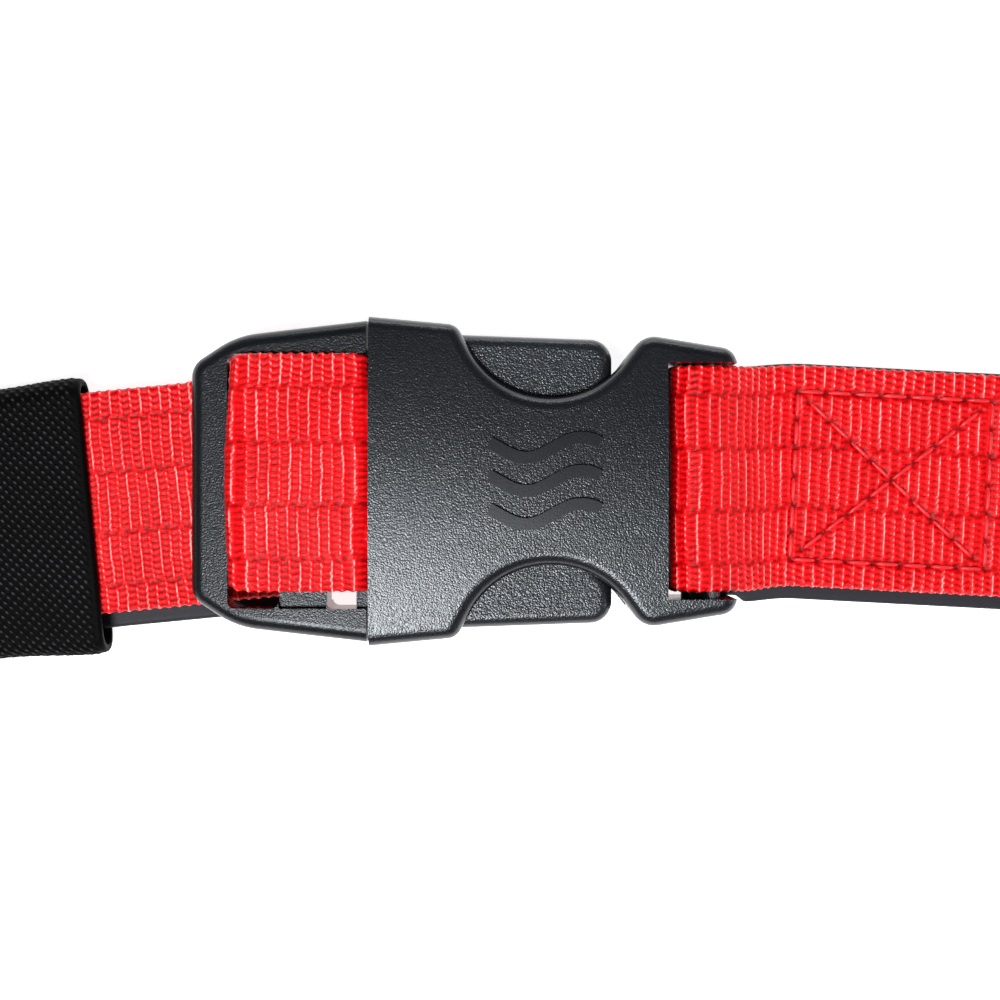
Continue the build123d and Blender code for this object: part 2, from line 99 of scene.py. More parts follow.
# %% Lamps, world and table
def area_lamp(name, place, size, watts):
    """A rectangular soft lamp that points at the middle of the buckle."""
    data = bpy.data.lights.new(name, "AREA")
    data.shape = "RECTANGLE"
    data.size, data.size_y = size
    data.energy = watts
    lamp = bpy.data.objects.new(name, data)
    lamp.location = place
    lamp.rotation_mode = "QUATERNION"
    lamp.rotation_quaternion = (-lamp.location).to_track_quat("-Z", "Y")
    bpy.context.scene.collection.objects.link(lamp)


area_lamp("key_low_left", (-0.12, -0.18, 0.50), (0.15, 0.12), 3.9)
area_lamp("fill_right", (0.45, -0.05, 0.22), (0.20, 0.20), 0.9)
area_lamp("rim_top", (0.0, 0.50, 0.10), (0.40, 0.08), 0.5)

world = bpy.data.worlds.new("studio")
bpy.context.scene.world = world
world.use_nodes = True
sky = world.node_tree.nodes["Background"]
up = world.node_tree.nodes.new("ShaderNodeSeparateXYZ")
fade = world.node_tree.nodes.new("ShaderNodeMapRange")
way = world.node_tree.nodes.new("ShaderNodeTexCoord")
world.node_tree.links.new(way.outputs["Generated"], up.inputs[0])
world.node_tree.links.new(up.outputs["Z"], fade.inputs[0])
fade_from, fade_to, bright_below, dark_above = 0.0, 0.6, 0.50, 0.05
for socket, value in zip(list(fade.inputs)[1:5], (fade_from, fade_to, bright_below, dark_above)):
    socket.default_value = value
world.node_tree.links.new(fade.outputs[0], sky.inputs["Strength"])
sky.inputs["Color"].default_value = (1, 1, 1, 1)

table_mesh = bpy.data.meshes.new("table_top")
half_table = 1.2
table_gap = 0.05 * MM
corners = [(-half_table, -half_table), (half_table, -half_table), (half_table, half_table), (-half_table, half_table)]
table_mesh.from_pydata([(x, y, cad_low.z - table_gap) for x, y in corners], [], [(0, 1, 2, 3)])
table_top = bpy.data.objects.new("table_top", table_mesh)
bpy.context.scene.collection.objects.link(table_top)

# %% [markdown]
# ## Finishes
#
# Each finish is a small node graph. Colours that vary are driven by nodes, and constant shader values are set on
# the shader itself. All patterns are in object space, in millimetres, so they have their real size.


# %% Node helpers
class Finish:
    """A material under construction: add() makes a node and links or sets its inputs."""

    def __init__(self, name):
        self.material = bpy.data.materials.new(name)
        self.material.use_nodes = True
        self.nodes = self.material.node_tree.nodes
        self.links = self.material.node_tree.links
        self.shader = self.nodes["Principled BSDF"]
        self.place = self.add("ShaderNodeTexCoord")

    def add(self, kind, settings=None, **inputs):
        node = self.nodes.new(kind)
        for key, value in (settings or {}).items():
            setattr(node, key, value)
        self.feed(node, **inputs)
        return node

    def feed(self, node, **inputs):
        """Inputs are named with underscores for spaces, or by number as i0, i1 and so on."""
        for key, value in inputs.items():
            numbered = key[0] == "i" and key[1:].isdigit()
            socket = node.inputs[int(key[1:]) if numbered else key.replace("_", " ")]
            if isinstance(value, bpy.types.NodeSocket):
                self.links.new(value, socket)
            else:
                socket.default_value = value

    def math(self, operation, a, b=0.0):
        return self.add("ShaderNodeMath", {"operation": operation}, i0=a, i1=b).outputs[0]

    def ramp(self, value, stops):
        node = self.add("ShaderNodeValToRGB", i0=value)
        elements = node.color_ramp.elements
        while len(elements) < len(stops):
            elements.new(0.5)
        for element, (position, colour) in zip(elements, stops):
            element.position = position
            element.color = (*colour, 1)
        return node.outputs["Color"]

    def noise(self, scale, detail=2.0, roughness=0.5):
        node = self.add("ShaderNodeTexNoise", Scale=scale, Detail=detail, Roughness=roughness,
                        Vector=self.place.outputs["Object"])
        return node.outputs["Fac"]

    def span(self, value, low, high, to_low=0.0, to_high=1.0):
        return self.add("ShaderNodeMapRange", i0=value, i1=low, i2=high, i3=to_low, i4=to_high).outputs[0]

    def bump(self, height, distance):
        return self.add("ShaderNodeBump", Height=height, Distance=distance, Strength=1.0).outputs["Normal"]

    def set(self, **values):
        for key, value in values.items():
            self.shader.inputs[key.replace("_", " ")].default_value = value


# %% [markdown]
# ### Moulded plastic
#
# The moulds of such buckles are etched, so the faces that look out of the mould carry a fine pebble grain, while
# the lips and side walls come out smooth and a little glossier. The grain fades where the surface turns away
# from the mould's pull direction, which is Z here. A cell pattern and a noise at two sizes keep the grain from
# looking regular. The raised waves on the housing's crown were polished in the mould, so the grain stops there.


# %% Plastic finish
crown_z = 12.0
crown_drop = 1.3
crown_half_width = 18.1
crown_curve = crown_drop / crown_half_width**2
wave_foot, wave_top, wave_grain = 0.10, 0.30, 0.12


def plastic_finish(name, dark, light, grain_mm, grain_depth, shine=0.55):
    """Etched plastic: dark and light are its two tones, grain_mm the grain's size and grain_depth its depth in mm."""
    finish = Finish(name)
    per_metre = 1 / (grain_mm * MM)
    normal_z = finish.add("ShaderNodeSeparateXYZ", Vector=finish.place.outputs["Normal"]).outputs["Z"]
    facing = finish.span(finish.math("ABSOLUTE", normal_z), 0.72, 0.96)
    cells = finish.add("ShaderNodeTexVoronoi", {"feature": "SMOOTH_F1"}, Vector=finish.place.outputs["Object"],
                       Scale=per_metre * 0.8, Smoothness=0.4).outputs["Distance"]
    fine = finish.noise(per_metre, 1.0, 0.5)
    grain = finish.math("ADD", finish.math("MULTIPLY", cells, -0.6), finish.math("MULTIPLY", fine, 0.9))
    spot = finish.add("ShaderNodeSeparateXYZ", Vector=finish.place.outputs["Object"]).outputs
    drop = finish.math("MULTIPLY", finish.math("MULTIPLY", spot["Y"], spot["Y"]), crown_curve / MM)
    above_crown = finish.math("ADD", finish.math("SUBTRACT", spot["Z"], crown_z * MM), drop)
    plain = finish.span(above_crown, wave_foot * MM, wave_top * MM, 1.0, wave_grain)
    height = finish.math("MULTIPLY", finish.math("MULTIPLY", grain, facing), plain)
    cloud = finish.noise(90.0, 3.0)
    tone = finish.math("ADD", finish.math("MULTIPLY", cloud, 0.5), finish.math("MULTIPLY", fine, 0.5))
    colour = finish.ramp(tone, [(0.35, dark), (0.70, light)])
    rough = finish.math("ADD", finish.span(facing, 0, 1, 0.20, 0.26), finish.math("MULTIPLY", fine, 0.08))
    finish.feed(finish.shader, Base_Color=colour, Roughness=rough, Normal=finish.bump(height, grain_depth * MM))
    finish.set(Specular_IOR_Level=shine, Specular_Tint=(0.90, 0.95, 1.0, 1.0))
    return finish.material


moulded_plastic = plastic_finish("moulded_plastic", (0.003, 0.0033, 0.0044), (0.008, 0.009, 0.012), 0.17, 0.034)
pad_plastic = plastic_finish("pad_plastic", (0.005, 0.0058, 0.0078), (0.013, 0.015, 0.019), 0.19, 0.050)
# The plug frame gets a darker, less glossy copy of the same plastic: its darker tones are painted shade, for a frame
# that lies lower and tilted.
shaded_frame_plastic = plastic_finish("shaded_frame_plastic", (0.003, 0.0033, 0.0042), (0.006, 0.007, 0.009), 0.16, 0.028, 0.34)
for node, finish in (("socket_housing", moulded_plastic), ("plug_frame", shaded_frame_plastic),
                     ("release_arm_upper", pad_plastic), ("release_arm_lower", pad_plastic)):
    piece = frame["nodes"][node]
    piece.data.materials.clear()
    piece.data.materials.append(finish)
print("plastic on the housing, the plug frame and the two arms")

# %% [markdown]
# ### Webbing yarn
#
# The nylon is dyed a saturated red. Its colour here also carries painted light: the crests get a bright, pinkish
# painted highlight, and the low places between the ribs a much deeper red as painted shade, where light would bounce
# off more red. Each vertex of the webbing stores how high it stands in the weave, and the finish reads that value, so
# the painted highlight and shade always sit on the real ribs. A very fine wave stands for the filaments in each yarn.


# %% Webbing finish
def yarn_finish_painted_light(name, stops, roughness, filament_mm, depth, shine=0.5, sheen=0.03):
    """Cloth coloured by how high its weave stands, from painted shade in its hollows to painted highlight on its
    crests; strap is each point's place along and across the cloth in mm.
    """
    finish = Finish(name)
    height = finish.add("ShaderNodeAttribute", {"attribute_name": "rise"}).outputs["Fac"]
    place = finish.add("ShaderNodeAttribute", {"attribute_name": "strap"}).outputs["Vector"]
    cloud = finish.add("ShaderNodeTexNoise", Scale=0.16, Detail=3.0, Vector=place).outputs["Fac"]
    speck = finish.add("ShaderNodeTexNoise", Scale=2.6, Detail=2.0, Vector=place).outputs["Fac"]
    mixed = finish.math("ADD", height, finish.math("MULTIPLY", finish.math("SUBTRACT", cloud, 0.5), 0.22))
    mixed = finish.math("ADD", mixed, finish.math("MULTIPLY", finish.math("SUBTRACT", speck, 0.5), 0.30))
    along = finish.add("ShaderNodeVectorMath", {"operation": "MULTIPLY"}, i0=place, i1=(0.35, 1.0, 1.0)).outputs[0]
    filaments = finish.add("ShaderNodeTexNoise", Scale=1 / filament_mm, Detail=2.0, Vector=along).outputs["Fac"]
    # The base colour paints light: the ramp turns low weave into painted shade and high weave into painted highlight,
    # and the two noises add random tone.
    finish.feed(finish.shader, Base_Color=finish.ramp(mixed, stops),
                Roughness=finish.span(filaments, 0, 1, roughness - 0.08, roughness + 0.10),
                Normal=finish.bump(filaments, depth * MM))
    finish.set(Sheen_Weight=sheen, Sheen_Roughness=0.4, Specular_IOR_Level=shine)
    return finish.material


# Red yarn stops: deep red painted shade at the bottom, pink painted highlight at the top.
red_yarn = yarn_finish_painted_light(
    "red_yarn",
    [(0.0, (0.17, 0.0, 0.001)), (0.22, (0.50, 0.001, 0.003)), (0.45, (0.84, 0.003, 0.006)),
     (0.66, (0.97, 0.020, 0.028)), (0.82, (1.0, 0.30, 0.28)), (1.0, (1.0, 0.60, 0.57))],
    0.42, 0.16, 0.05, 0.12)
# Sleeve cloth stops: near black as painted shade in the hollows, up to grey as painted highlight on the crests.
black_weave = yarn_finish_painted_light(
    "black_weave",
    [(0.0, (0.0001, 0.0001, 0.0001)), (0.45, (0.0004, 0.0004, 0.0005)), (0.74, (0.0015, 0.0015, 0.002)),
     (1.0, (0.042, 0.044, 0.049))],
    0.6, 0.16, 0.05, 0.05, 0.0)
lining_cloth = yarn_finish_painted_light("lining_cloth", [(0.0, (0.003, 0.004, 0.007)), (1.0, (0.013, 0.016, 0.024))],
                           0.6, 0.2, 0.02, 0.3)
red_thread = yarn_finish_painted_light("red_thread", [(0.0, (0.35, 0.001, 0.004)), (1.0, (0.90, 0.02, 0.03))], 0.4, 0.12, 0.05)
black_thread = yarn_finish_painted_light("black_thread", [(0.0, (0.003, 0.003, 0.004)), (1.0, (0.015, 0.015, 0.017))],
                           0.5, 0.12, 0.05)
print("finishes:", [m.name for m in bpy.data.materials if m.use_nodes])

# %% [markdown]
# ## Flat webbing
#
# A strap is a ribbon swept along a smooth path. The path is a chain of listed points in the side view, rounded into a
# B-spline, plus a drift of the strap across the table. Around it goes a closed skin: a top face with the weave, a
# thin woven edge, and a bottom face. The skin is displaced in its own maths, which keeps the ribs crisp and puts no
# modifier in the way of the joints.


# %% Path and ribbon tools
def smooth_path(points, spacing):
    """Evenly spaced points on a cubic B-spline that starts and ends at the first and last point."""
    knots = np.array([points[0]] * 2 + list(points) + [points[-1]] * 2, float)
    t = np.linspace(0, 1, 40, endpoint=False)[:, None]
    pieces = []
    weights = ((1 - t) ** 3, 3 * t**3 - 6 * t**2 + 4, -3 * t**3 + 3 * t**2 + 3 * t + 1, t**3)
    for a, b, c, d in zip(knots, knots[1:], knots[2:], knots[3:]):
        pieces.append((weights[0] * a + weights[1] * b + weights[2] * c + weights[3] * d) / 6)
    line = np.vstack(pieces + [knots[-1:]])
    line = np.vstack([line[:1], line[1:][np.linalg.norm(np.diff(line, axis=0), axis=1) > 1e-6]])
    run = np.concatenate([[0], np.cumsum(np.linalg.norm(np.diff(line, axis=0), axis=1))])
    s = np.linspace(0, run[-1], int(round(run[-1] / spacing)) + 1)
    return s, np.column_stack([np.interp(s, run, line[:, i]) for i in range(line.shape[1])])


def mesh_object(name, points_mm, faces, rise, strap, finish):
    """A smooth-shaded mesh from points in millimetres, with how high each stands in the weave and its place in it."""
    mesh = bpy.data.meshes.new(name)
    mesh.from_pydata((np.asarray(points_mm) * MM).tolist(), [], faces)
    rises = mesh.attributes.new("rise", "FLOAT", "POINT")
    rises.data.foreach_set("value", np.asarray(rise, np.float32))
    places = mesh.attributes.new("strap", "FLOAT_VECTOR", "POINT")
    places.data.foreach_set("vector", np.asarray(strap, np.float32).ravel())
    mesh.polygons.foreach_set("use_smooth", [True] * len(mesh.polygons))
    mesh.materials.append(finish)
    mesh.update()
    piece = bpy.data.objects.new(name, mesh)
    bpy.context.scene.collection.objects.link(piece)
    return piece


def tube_faces(rows, columns):
    """Quads of a closed tube of rows by columns points, and one many-sided face over each end."""
    r, c = np.meshgrid(np.arange(rows - 1), np.arange(columns), indexing="ij")
    a, b = r * columns + c, r * columns + (c + 1) % columns
    faces = np.stack([a, b, b + columns, a + columns], axis=-1).reshape(-1, 4).tolist()
    last = (rows - 1) * columns
    return faces + [list(range(columns - 1, -1, -1)), list(range(last, last + columns))]


def across_points(width, count):
    """Places across a strap, a little closer together near its two edges."""
    crowd = 0.80
    return width / 2 * np.sin(np.linspace(-1, 1, count) * np.pi / 2 * crowd) / math.sin(np.pi / 2 * crowd)


def ribbon(name, side_path, drift, turn, width, thickness, weave, finish, spacing=0.17, counts=(150, 14),
           bulge=None, swell=None):
    """A strap: side_path holds (x, z) points, drift(x) is its middle in y, and turn(x) its heading in degrees.

    counts are the points across its outer and inner face. bulge(x, z, v) lifts the cloth, v millimetres from
    its middle, and swell(x, z) widens it.
    """
    s, line = smooth_path(side_path, spacing)
    x, z = line[:, 0], line[:, 1]
    tangent = np.gradient(line, axis=0)
    tangent /= np.linalg.norm(tangent, axis=1)[:, None]
    heading = np.radians(turn(x))[:, None]
    grids, rises, places = [], [], []
    for face, count in zip((1, -1), counts):
        flat = across_points(width, count)[None, :]
        waviness = 1 if weave is plain_weave else edge_wave(s[:, None])
        fullness = 1 if swell is None else swell(x[:, None], z[:, None])
        v = flat * waviness * fullness
        edge = np.clip((width / 2 - np.abs(flat)) / (thickness * 0.6), 0, 1)
        body = thickness / 2 * np.sqrt(np.clip(1 - (1 - edge) ** 2, 0.02, 1))
        high, rise = weave(s[:, None], v, x[:, None], face)
        push = 0 if bulge is None else bulge(x[:, None], z[:, None], v)
        lift = face * (body + high * np.clip(edge * 2, 0.25, 1)) + push
        px = x[:, None] - tangent[:, 1:2] * lift - np.sin(heading) * v
        pz = z[:, None] + tangent[:, 0:1] * lift
        py = drift(x)[:, None] + np.cos(heading) * v + 0 * lift
        grids.append(np.stack([px, py, pz], axis=-1)[:, ::face])
        rises.append((rise + 0 * lift)[:, ::face])
        places.append(np.stack([s[:, None] + 0 * lift, v + 0 * lift, 0 * lift + face], axis=-1)[:, ::face])
    points = np.concatenate(grids, axis=1)
    piece = mesh_object(name, points.reshape(-1, 3), tube_faces(len(s), points.shape[1]),
                        np.concatenate(rises, axis=1).ravel(), np.concatenate(places, axis=1).reshape(-1, 3), finish)
    print(name, "length", round(float(s[-1]), 1), "mm,", len(piece.data.polygons), "faces")
    return piece, float(s[-1])


# %% [markdown]
# ## The weave of the webbing
#
# This webbing is ribbed: at every 1.1 mm a row of tight knuckles stands up across the strap and catches the light as
# a thin bright line. Between two lines lies a lower, wider furrow with two staggered rows of small knuckles, and dark
# pits between them. Four binder yarns run along the strap and pinch the ribs, which splits the strap into five bands
# whose lines meet with a small jog. The weave's height share also sets the yarn's colour, so the bright lines are
# partly painted highlight, and the dark pits and the pinched grooves along the binders are partly painted shade.


# %% Weave
webbing_width = 25.0
rib_pitch = 1.12
rib_height = 0.26
bead_pitch = 0.70
binders = (0.125, 0.36, 0.635, 0.875)
jogs = (0.0, 0.16, -0.06, 0.12, -0.10)
line_width = 0.155
furrow_width = 0.17
furrow_shift = 0.36
groove_width = 0.24
loop_width = 0.10
tape_pitch = 0.6
tape_height = 0.02


def edge_wave(s):
    """The strap's edges swell a little at every rib."""
    return 1 + 0.007 * np.cos(2 * np.pi * (s / rib_pitch - 0.5))


def webbing_weave(s, v, x, face):
    """Height in mm above the strap's core, and the same as a share from 0 to 1."""
    share = v / webbing_width + 0.5
    jog = jogs[0] + sum((share > b) * (after - before) for b, before, after in zip(binders, jogs, jogs[1:]))
    phase = s / rib_pitch + jog + 0.05 * np.sin(0.55 * v + 0.23 * s) + 0.03 * np.sin(1.9 * v - 0.7 * s)
    rib = np.floor(phase)
    offset = phase - rib - 0.5
    bead = v / bead_pitch + 0.5 * (rib % 2) + 0.1 * np.sin(1.3 * v + 2 * rib)
    tooth = np.cos(2 * np.pi * bead)
    dotted = 0.5 + 0.5 * np.sin(2.4 * rib + 0.21 * v)
    line = np.exp(-(((offset + 0.035 * np.sin(2 * np.pi * bead)) / line_width) ** 2))
    line = line * (0.92 - 0.40 * dotted * (0.5 - 0.5 * tooth))
    side = np.where(offset > 0, 1, -1)
    furrow = (np.abs(offset) - furrow_shift) / furrow_width
    knuckle = 0.56 * np.exp(-(furrow**2)) * (0.5 + 0.5 * np.cos(2 * np.pi * (bead + 0.25 * side)))
    rise = 0.10 + 0.90 * np.maximum(line, knuckle) + 0.16 * np.minimum(line, knuckle)
    for b in binders:
        wave = np.sin(np.pi * phase)
        distance = (share - b) * webbing_width - 0.16 * wave
        groove = np.exp(-((distance / groove_width) ** 2))
        loop = np.exp(-((distance / loop_width) ** 2)) * np.clip(wave, 0, 1)
        rise = rise * (1 - 0.75 * groove) + 0.55 * loop
    # The share also sets the colour: where it is low the yarn gets painted shade, where it is high painted highlight.
    return rib_height * rise, np.clip(rise, 0, 1)


def plain_weave(s, v, x, face):
    """A thin close tape: only a faint ripple."""
    rise = 0.5 + 0.25 * np.sin(2 * np.pi * s / tape_pitch) * np.sin(2 * np.pi * v / tape_pitch)
    return tape_height * rise, rise


print("rib pitch", rib_pitch, "mm, beads", bead_pitch, "mm")

# %% [markdown]
# ## Adjuster webbing
#
# One webbing comes out of the sleeve, goes under the frame's end bar, up through the first slot, over the centre bar
# in a loose arch, and down through the second slot, and its tail runs back under itself into the sleeve. It bends
# where it leaves the frame.


# %% Adjuster strap
def step(x, low, high):
    """0 below low, 1 above high and smooth between."""
    t = np.clip((x - low) / (high - low), 0, 1)
    return t * t * (3 - 2 * t)


loop_low, loop_high = (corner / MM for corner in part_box("adjuster_webbing_loop"))
main_low, main_high = (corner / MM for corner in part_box("adjuster_webbing_main"))
webbing_t = 1.4
core_t = webbing_t - 2 * rib_height
half_t = webbing_t / 2
strap_hinge = next(j for j in frame["joints"] if j["name"] == "adjuster_strap_swing")["pos_m"][0] / MM
adjuster_slope = 5.5
adjuster_y = -1.5
arch_y = 0.95
turn_start = strap_hinge + 1.6
main_z = main_high.z - half_t
tail_z = loop_low.z + half_t
arch_z = loop_high.z - half_t
rise_x = loop_low.x + 5.2
fall_x = loop_high.x - half_t
strap_end = main_low.x


def strap_line(x):
    """The middle of the strap in y, along its slope."""
    return adjuster_y + (x - strap_hinge) * math.tan(math.radians(adjuster_slope))


def main_drift(x):
    """The main run leaves its slope inside the frame and squares up to the centre bar."""
    into_frame = step(x, turn_start, rise_x)
    return strap_line(x) * (1 - into_frame) + arch_y * into_frame


def main_turn(x):
    return adjuster_slope * (1 - step(x, turn_start, rise_x))


def arch_bulge(x, z, v):
    """The arch is fullest a little below the middle of the strap's width."""
    centre = np.clip(1 - ((v + 1.5) / 13.0) ** 2, 0, 1)
    return (0.20 + 0.75 * centre) * step(z, main_z + 3.2, arch_z - 0.6)


def arch_swell(x, z):
    """The loose arch is a little wider than the flat strap."""
    return 1 + 0.04 * step(z, arch_z - 1.5, arch_z + 0.6)


upper_path = [(strap_end, tail_z), (strap_end + 4, tail_z), (strap_end + 8, tail_z), (strap_end + 12, tail_z + 0.3),
              (strap_end + 16, main_z - 0.3), (strap_end + 20, main_z), (strap_end + 30, main_z),
              (strap_hinge - 10, main_z), (strap_hinge - 4, main_z), (strap_hinge + 1, main_z),
              (rise_x - 3.4, main_z), (rise_x - 1.2, main_z + 0.1), (rise_x + 0.1, main_z + 1.0),
              (rise_x, main_z + 3), (rise_x - 0.2, arch_z - 1.0), (rise_x + 0.2, arch_z + 0.2),
              (rise_x + 2.2, arch_z + 0.6), (rise_x + 6, arch_z + 0.7), (rise_x + 9.5, arch_z + 0.7),
              (fall_x + 0.7, arch_z + 0.6), (fall_x + 1.85, arch_z + 0.15), (fall_x + 1.0, arch_z - 0.9),
              (fall_x + 0.1, arch_z - 2.2), (fall_x, arch_z - 3.6), (fall_x, tail_z + 1.6)]
adjuster_upper, upper_length = ribbon("adjuster_webbing_upper", upper_path, main_drift, main_turn, webbing_width,
                                      core_t, webbing_weave, red_yarn, bulge=arch_bulge, swell=arch_swell)

lower_path = [(fall_x, tail_z + 1.7), (fall_x, tail_z + 0.9), (fall_x - 0.6, tail_z), (fall_x - 3, tail_z),
              (fall_x - 9, tail_z), (strap_hinge, tail_z), (strap_hinge - 8, tail_z), (strap_hinge - 20, tail_z),
              (strap_hinge - 33, tail_z)]


def tail_turn(x):
    return adjuster_slope + 0 * x


def backwards(weave):
    """The same weave for a path that runs towards -X, where the outer face looks down."""
    return lambda s, v, x, face: weave(s, v, x, -face)


adjuster_lower, lower_length = ribbon("adjuster_webbing_lower", lower_path, strap_line, tail_turn, webbing_width,
                                      core_t, backwards(webbing_weave), red_yarn, spacing=0.2, counts=(120, 40))

lining_width = 27.0
lining_t = 0.9
lining_low, lining_high = (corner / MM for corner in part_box("adjuster_lining"))
lining_shift = -0.8
lining_z = (lining_low.z + lining_high.z) / 2
lining_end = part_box("adjuster_lining_end")[1].x / MM
lining_path = [(x, lining_z) for x in np.linspace(lining_low.x, lining_end, 9)]
adjuster_lining, adjuster_lining_length = ribbon(
    "adjuster_lining_tape", lining_path, lambda x: strap_line(x) + lining_shift, tail_turn, lining_width, lining_t,
    plain_weave, lining_cloth, spacing=0.3, counts=(70, 70))

for piece, nodes, slot in (
    (adjuster_upper, ("adjuster_webbing_loop", "adjuster_webbing_main"), "red_webbing"),
    (adjuster_lower, ("adjuster_webbing_tail",), "red_webbing"),
    (adjuster_lining, ("adjuster_lining", "adjuster_lining_end"), "black_lining"),
):
    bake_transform(piece)
    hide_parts(*nodes)

# %% [markdown]
# ## Sewn strap
#
# The fixed strap goes round the housing's bar and back on itself, and a box with a cross holds both layers and the
# lining together. Sewing pulls the webbing in, so the weave sinks along the seam. The loop hangs on the bar and
# swings there as one piece.

# %% Fixed strap
bar_joint = next(j for j in frame["joints"] if j["name"] == "fixed_strap_swing")["pos_m"]
bar_x, bar_z = bar_joint[0] / MM, bar_joint[2] / MM
fixed_low, fixed_high = (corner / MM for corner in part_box("fixed_webbing"))
fixed_lining_low, fixed_lining_high = (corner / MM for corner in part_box("fixed_lining"))
seam_low, seam_high = (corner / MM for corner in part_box("box_stitch_needle_thread"))
fixed_slope = 3.0
fixed_loop_y = 0.3
fixed_y = 0.8
slot_mouth = bar_x + 6.6
fixed_bend = bar_x + 9.7
lower_z = fixed_low.z + half_t
upper_z = seam_low.z - half_t
loop_radius = bar_x - fixed_low.x - half_t
box_middle = (seam_low + seam_high) / 2
box_length, box_width = 22.0, 19.0


def fixed_drift(x):
    """The strap is straight in the housing's slot, moves across to the bend, and then runs down its slope."""
    far = fixed_bend + 60
    corners = (bar_x - 20, slot_mouth, fixed_bend, far)
    middles = (fixed_loop_y, fixed_loop_y, fixed_y, fixed_y - 60 * math.tan(math.radians(fixed_slope)))
    return sum(np.interp(x + shift, corners, middles) for shift in (-2, -1, 0, 1, 2)) / 5


def fixed_turn(x):
    """The cross yarns turn once, from square in the slot to square across the slope."""
    return -fixed_slope * step(x, slot_mouth - 1, fixed_bend + 3)


stitch_pitch = 3.3
cross_share = 0.88
half_length, half_width = box_length / 2, box_width / 2
seam_corners = [(-half_length, half_width), (half_length, half_width),
                (half_length, -half_width), (-half_length, -half_width)]
seam_lines = [(seam_corners[i], seam_corners[(i + 1) % 4]) for i in range(4)]
for (ax, ay), (bx, by) in ((seam_corners[0], seam_corners[2]), (seam_corners[3], seam_corners[1])):
    seam_lines.append(((ax * cross_share, ay * cross_share), (bx * cross_share, by * cross_share)))


def seam_distance(x, v):
    """Distances in the strap's own plane from the nearest seam line and from the nearest needle hole."""
    along = (x - box_middle.x) / math.cos(math.radians(fixed_slope))
    nearest = np.full(np.broadcast(x, v).shape, 99.0)
    hole = nearest.copy()
    for (ax, ay), (bx, by) in seam_lines:
        run = math.hypot(bx - ax, by - ay)
        ux, uy = (bx - ax) / run, (by - ay) / run
        t = np.clip((along - ax) * ux + (v - ay) * uy, 0, run)
        away = np.hypot(along - ax - ux * t, v - ay - uy * t)
        stitch = run / round(run / stitch_pitch)
        to_hole = np.abs((t + stitch / 2) % stitch - stitch / 2)
        nearest = np.minimum(nearest, away)
        hole = np.minimum(hole, np.hypot(away, to_hole))
    return nearest, hole


def sewn_weave(s, v, x, face):
    """The webbing's weave, drawn down along the seam, and darker along the seam and in each needle hole as painted
    shade.
    """
    high, rise = webbing_weave(s, v, x, face)
    seam, hole = seam_distance(x, v)
    pull = np.exp(-((seam / 0.45) ** 2))
    pit = np.exp(-((hole / 0.40) ** 2))
    return high - 0.14 * pull - 0.12 * pit, rise * (1 - 0.35 * pull) * (1 - pit)


arc_step = 25
arc_reach = loop_radius * 3 / (2 + math.cos(math.radians(arc_step)))
arc = [(bar_x + arc_reach * math.cos(math.radians(a)), bar_z + arc_reach * math.sin(math.radians(a)))
       for a in range(-105, -300, -arc_step)]
short_end = box_middle.x + half_length + 2.3
fixed_path = [(short_end, lower_z), (short_end - 8, lower_z), (bar_x + 14, lower_z), (bar_x + 9, lower_z),
              (bar_x + 6, lower_z + 0.05), (bar_x + 3, lower_z + 0.45), (bar_x + 0.8, lower_z + 0.8), *arc,
              (bar_x + 4.3, bar_z + 1.1), (bar_x + 6.5, upper_z + 1.0), (bar_x + 8.6, upper_z + 0.1),
              (bar_x + 11, upper_z), (bar_x + 15, upper_z), (bar_x + 25, upper_z), (short_end, upper_z),
              (short_end + 2.5, upper_z - 0.2), (short_end + 5.5, lower_z + 0.1), (short_end + 8, lower_z),
              (fixed_high.x - 4, lower_z), (fixed_high.x, lower_z)]
fixed_strap, fixed_length = ribbon("fixed_webbing_strap", fixed_path, fixed_drift, fixed_turn, webbing_width, core_t,
                                   backwards(sewn_weave), red_yarn, spacing=0.19)
fixed_lining_shift = -0.6
fixed_lining_z = (fixed_lining_low.z + fixed_lining_high.z) / 2
fixed_lining_path = [(x, fixed_lining_z) for x in np.linspace(bar_x + 1.6, fixed_lining_high.x, 11)]


def between_ears(x, z):
    """The lining is folded a little narrower where it starts between the housing's ears."""
    return 0.94 + 0.06 * step(x, bar_x + 4.4, bar_x + 5.8)


fixed_lining, fixed_lining_length = ribbon(
    "fixed_lining_tape", fixed_lining_path, lambda x: fixed_drift(x) + fixed_lining_shift, fixed_turn, lining_width,
    lining_t, plain_weave, lining_cloth, spacing=0.3, counts=(70, 70), swell=between_ears)
for piece, node, slot in (
    (fixed_strap, "fixed_webbing", "red_webbing"),
    (fixed_lining, "fixed_lining", "black_lining"),
):
    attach(piece, "fixed_strap")
    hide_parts(node)

# %% [markdown]
# ## Sleeve
#
# The sleeve is a woven tube, flat like the straps inside it, with its two ends folded in. The cloth is coarse and cut
# on the bias: its strands run diagonally, and each one goes under its neighbours every millimetre or so, which leaves
# rows of short, raised dashes on a very dark ground. The dashes' shine is a painted highlight in the cloth's colour,
# beside their own faint gloss. The dark ground between them and the folded ends get painted shade.

# %% Sleeve
sleeve_low, sleeve_high = (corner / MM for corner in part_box("strap_sleeve"))
sleeve_middle = (sleeve_low + sleeve_high) / 2
sleeve_length = 30.0
sleeve_width = 31.2
sleeve_height = sleeve_high.z - sleeve_low.z
sleeve_wall = 0.8
weave_pitch = 1.0
dash_share = 0.8
weave_height = 0.16
fold_depth, fold_length = 0.25, 0.45
flare_share = 0.035


